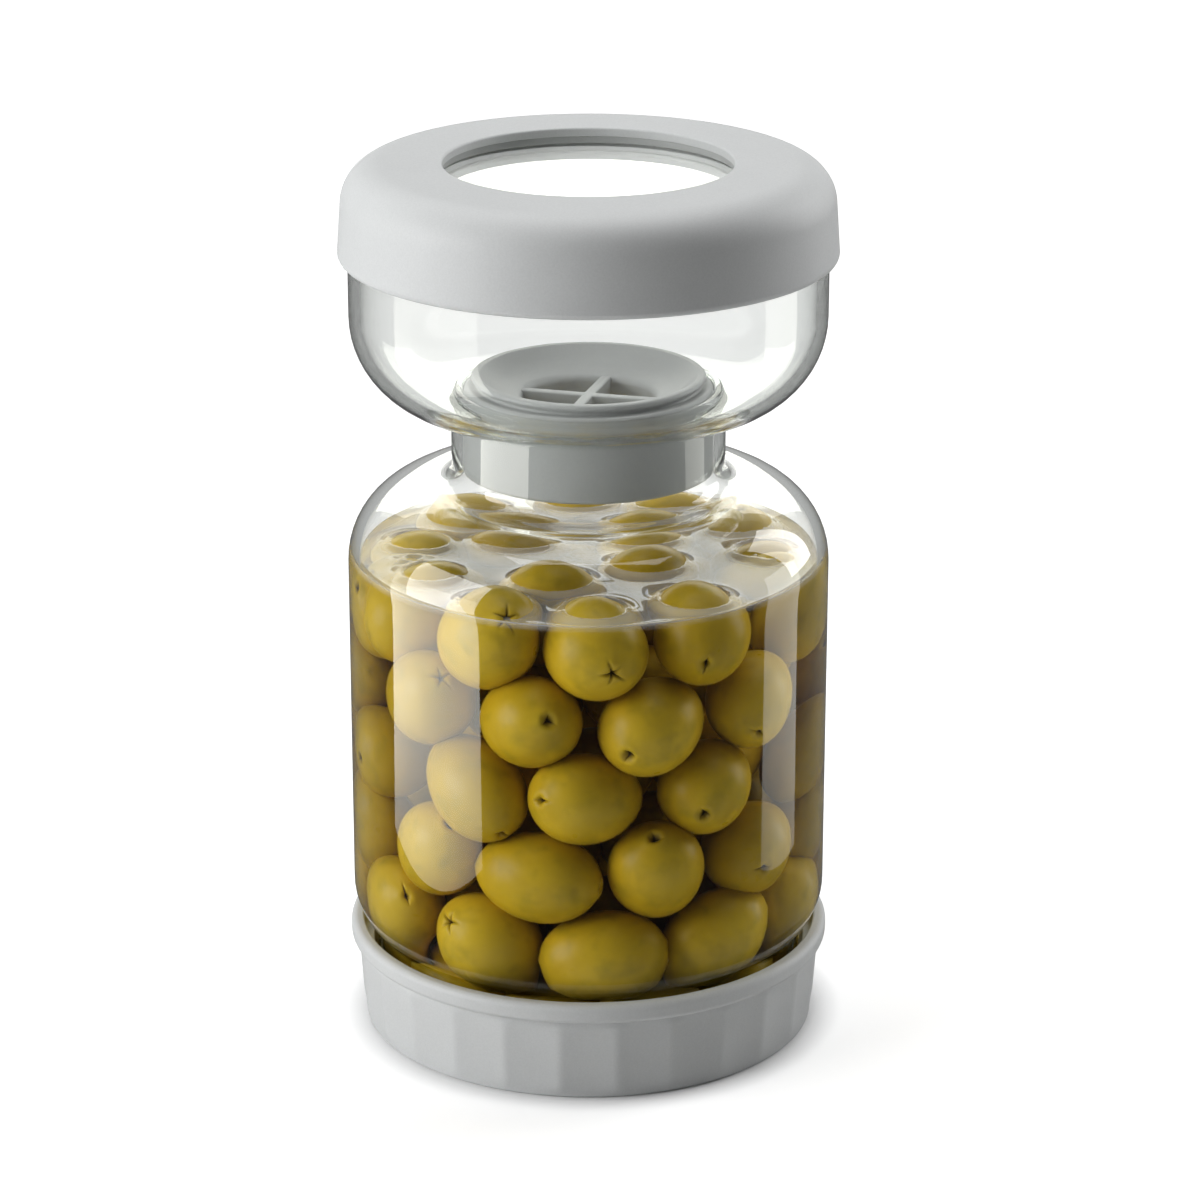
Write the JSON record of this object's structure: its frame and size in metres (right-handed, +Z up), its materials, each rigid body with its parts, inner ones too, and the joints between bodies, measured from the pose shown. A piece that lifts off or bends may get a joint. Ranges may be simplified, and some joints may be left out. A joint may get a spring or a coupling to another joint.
{
  "type": "olive jar with strainer",
  "caption": "Hourglass glass jar: a strainer plugs its neck, a windowed lid closes the upper bowl and a fluted screw cap the lower mouth. Flipped, brine drains into the bowl.",
  "frame": {"origin": "centre of the base cap's underside, where the jar stands", "axes": "+Z up along the jar's axis; the front of the picture is -Y"},
  "size_m": [0.1052, 0.1052, 0.191],
  "materials": {
    "grey_plastic": "matte, finely textured",
    "grey_silicone": "matte",
    "clear_glass": "clear, polished"
  },
  "bodies": {
    "base_cap": {"base_cap": "grey_plastic"},
    "base_seal": {"base_seal": "grey_silicone"},
    "jar": {"jar_glass": "clear_glass", "bowl_glass": "clear_glass"},
    "strainer": {"strainer": "grey_silicone"},
    "lid": {"lid_shell": "grey_plastic", "lid_liner": "grey_plastic", "lid_window": "clear_glass", "window_seal": "grey_silicone", "lid_seal": "grey_silicone"}
  },
  "joints": [
    {"name": "cap_turn", "type": "hinge", "parent": "base_cap", "child": "base_seal", "pos_m": [0, 0, 0.003], "axis": [0, 0, 1], "range_deg": [0, 360]},
    {"name": "jar_rise", "type": "slide", "parent": "base_seal", "child": "jar", "axis": [0, 0, 1], "range_m": [0, 0.018]},
    {"name": "strainer_lift", "type": "slide", "parent": "jar", "child": "strainer", "axis": [0, 0, 1], "range_m": [0, 0.034]},
    {"name": "lid_lift", "type": "slide", "parent": "jar", "child": "lid", "axis": [0, 0, 1], "range_m": [0, 0.04]}
  ],
  "couplings": [
    {"joint": "jar_rise", "follows": "cap_turn", "m_per_rad": 0.0028647}
  ]
}
